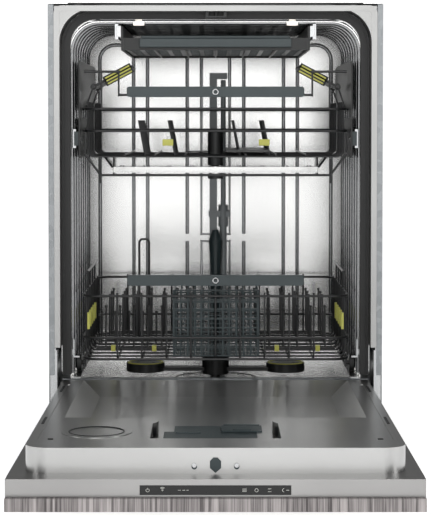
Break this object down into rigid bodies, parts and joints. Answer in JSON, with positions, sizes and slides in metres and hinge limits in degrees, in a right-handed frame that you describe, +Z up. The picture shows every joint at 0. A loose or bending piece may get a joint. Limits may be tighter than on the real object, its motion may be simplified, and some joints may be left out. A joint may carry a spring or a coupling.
{
  "type": "built-in dishwasher",
  "caption": "Built-in dishwasher with a drop-down door, stainless tub, cutlery tray, two sliding wire racks, spray arms and pump sump.",
  "frame": {"origin": "floor level, centre of the width, at the cabinet front plane", "axes": "+X to the right seen from the front, +Y back into the cabinet, +Z up"},
  "size_m": [0.596, 1.233, 0.82],
  "materials": {
    "pressed_steel": "satin",
    "galvanised_steel": "satin",
    "brushed_fascia": "brushed",
    "rail_steel": "polished",
    "arm_steel": "satin",
    "gasket_rubber": "matt",
    "black_plastic": "matt",
    "white_plastic": "matt",
    "lamp_lens": "clear",
    "slate_plastic": "satin",
    "grey_plastic": "satin",
    "coated_wire": "satin",
    "yellow_plastic": "gloss",
    "display_glass": "gloss",
    "wood_veneer": "matt"
  },
  "bodies": {
    "cabinet": {"base_pan": "black_plastic", "levelling_feet": "black_plastic", "side_panel_left": "galvanised_steel", "side_panel_right": "galvanised_steel", "top_frame": "pressed_steel", "rear_cover": "galvanised_steel", "toe_plate": "galvanised_steel", "tub": "pressed_steel", "front_flange": "pressed_steel", "door_gasket": "gasket_rubber", "sill": "gasket_rubber", "latch_striker": "black_plastic", "tub_lamps": "lamp_lens", "hinge_brackets": "galvanised_steel", "sump": "black_plastic", "filter_plate": "pressed_steel", "wash_pump": "black_plastic", "drain_pump": "black_plastic", "inlet_valve": "white_plastic", "softener_tank": "white_plastic", "supply_tube": "grey_plastic", "jet_tower": "slate_plastic", "upper_rail_tracks": "rail_steel", "tray_rail_tracks": "rail_steel"},
    "upper_rail_members": {"upper_rail_slides": "slate_plastic"},
    "tray_rail_members": {"tray_rail_slides": "rail_steel"},
    "cutlery_tray": {"tray_frame": "slate_plastic", "tray_bins": "slate_plastic", "tray_handle": "slate_plastic"},
    "upper_carrier": {"height_adjusters": "black_plastic"},
    "upper_rack": {"upper_rack_wires": "coated_wire", "upper_rack_handle": "slate_plastic", "upper_spray_hub": "black_plastic", "glass_tines": "coated_wire"},
    "upper_arm": {"upper_spray_arm": "arm_steel"},
    "shelf_left": {"cup_shelf_left": "black_plastic"},
    "shelf_right": {"cup_shelf_right": "black_plastic"},
    "lower_rack": {"lower_rack_wires": "coated_wire", "lower_rack_handle": "slate_plastic", "plate_tines_fixed": "coated_wire", "tine_clips": "yellow_plastic"},
    "tines_left": {"plate_tines_left": "coated_wire"},
    "tines_right": {"plate_tines_right": "coated_wire"},
    "wheels_front": {"rack_front_wheels": "black_plastic"},
    "wheels_rear": {"rack_rear_wheels": "black_plastic"},
    "basket": {"cutlery_basket": "slate_plastic"},
    "lower_arm": {"lower_spray_arm": "black_plastic"},
    "cup_filter": {"filter_cup": "black_plastic"},
    "salt_lid": {"salt_cap": "black_plastic"},
    "door": {"door_liner": "pressed_steel", "door_shell": "brushed_fascia", "fascia": "brushed_fascia", "display_strip": "display_glass", "furniture_panel": "wood_veneer", "dispenser_body": "slate_plastic", "vent_cap": "pressed_steel", "door_lock": "slate_plastic", "hinge_arms": "galvanised_steel"},
    "detergent_cover": {"detergent_lid": "slate_plastic"},
    "rinse_cover": {"rinse_aid_lid": "slate_plastic"}
  },
  "joints": [
    {"name": "door_hinge", "type": "hinge", "parent": "cabinet", "child": "door", "pos_m": [0, 0.019, 0.12], "axis": [1, 0, 0], "range_deg": [-90, 0]},
    {"name": "upper_rack_slide", "type": "slide", "parent": "cabinet", "child": "upper_carrier", "axis": [0, -1, 0], "range_m": [0, 0.42]},
    {"name": "upper_member_slide", "type": "slide", "parent": "cabinet", "child": "upper_rail_members", "axis": [0, -1, 0], "range_m": [0, 0.21]},
    {"name": "rack_height", "type": "slide", "parent": "upper_carrier", "child": "upper_rack", "axis": [0, 0, 1], "range_m": [0, 0.02]},
    {"name": "tray_slide", "type": "slide", "parent": "cabinet", "child": "cutlery_tray", "axis": [0, -1, 0], "range_m": [0, 0.4]},
    {"name": "tray_member_slide", "type": "slide", "parent": "cabinet", "child": "tray_rail_members", "axis": [0, -1, 0], "range_m": [0, 0.2]},
    {"name": "lower_rack_slide", "type": "slide", "parent": "cabinet", "child": "lower_rack", "axis": [0, -1, 0], "range_m": [0, 0.42]},
    {"name": "front_wheel_roll", "type": "hinge", "parent": "lower_rack", "child": "wheels_front", "pos_m": [0, 0.13, 0.156], "axis": [1, 0, 0], "range_deg": [-10, 1520]},
    {"name": "rear_wheel_roll", "type": "hinge", "parent": "lower_rack", "child": "wheels_rear", "pos_m": [0, 0.402, 0.156], "axis": [1, 0, 0], "range_deg": [-10, 1520]},
    {"name": "upper_arm_spin", "type": "hinge", "parent": "upper_rack", "child": "upper_arm", "pos_m": [0, 0.255, 0.51], "axis": [0, 0, 1], "continuous": true},
    {"name": "lower_arm_spin", "type": "hinge", "parent": "cabinet", "child": "lower_arm", "pos_m": [0, 0.255, 0.13], "axis": [0, 0, 1], "continuous": true},
    {"name": "shelf_left_fold", "type": "hinge", "parent": "upper_rack", "child": "shelf_left", "pos_m": [-0.2243, 0.18, 0.668], "axis": [0, -1, 0], "range_deg": [-28, 0]},
    {"name": "shelf_right_fold", "type": "hinge", "parent": "upper_rack", "child": "shelf_right", "pos_m": [0.2243, 0.18, 0.668], "axis": [0, 1, 0], "range_deg": [-28, 0]},
    {"name": "tines_left_fold", "type": "hinge", "parent": "lower_rack", "child": "tines_left", "pos_m": [-0.157, 0.13, 0.182], "axis": [-1, 0, 0], "range_deg": [0, 75]},
    {"name": "tines_right_fold", "type": "hinge", "parent": "lower_rack", "child": "tines_right", "pos_m": [0.157, 0.13, 0.182], "axis": [-1, 0, 0], "range_deg": [0, 75]},
    {"name": "basket_lift", "type": "slide", "parent": "lower_rack", "child": "basket", "axis": [0, 0, 1], "range_m": [0, 0.1]},
    {"name": "filter_turn", "type": "hinge", "parent": "cabinet", "child": "cup_filter", "pos_m": [-0.038, 0.225, 0.08], "axis": [0, 0, 1], "range_deg": [0, 90]},
    {"name": "salt_cap_turn", "type": "hinge", "parent": "cabinet", "child": "salt_lid", "pos_m": [-0.165, 0.13, 0.105], "axis": [0, 0, 1], "range_deg": [0, 180]},
    {"name": "detergent_lid_slide", "type": "slide", "parent": "door", "child": "detergent_cover", "axis": [0, 1, 0], "range_m": [0, 0.05]},
    {"name": "rinse_lid_hinge", "type": "hinge", "parent": "door", "child": "rinse_cover", "pos_m": [0.04, -0.42, 0.1326], "axis": [-1, 0, 0], "range_deg": [0, 95]}
  ],
  "couplings": [
    {"joint": "upper_member_slide", "follows": "upper_rack_slide", "ratio": 0.5},
    {"joint": "tray_member_slide", "follows": "tray_slide", "ratio": 0.5},
    {"joint": "front_wheel_roll", "follows": "lower_rack_slide", "rad_per_m": 62.5},
    {"joint": "rear_wheel_roll", "follows": "lower_rack_slide", "rad_per_m": 62.5}
  ]
}
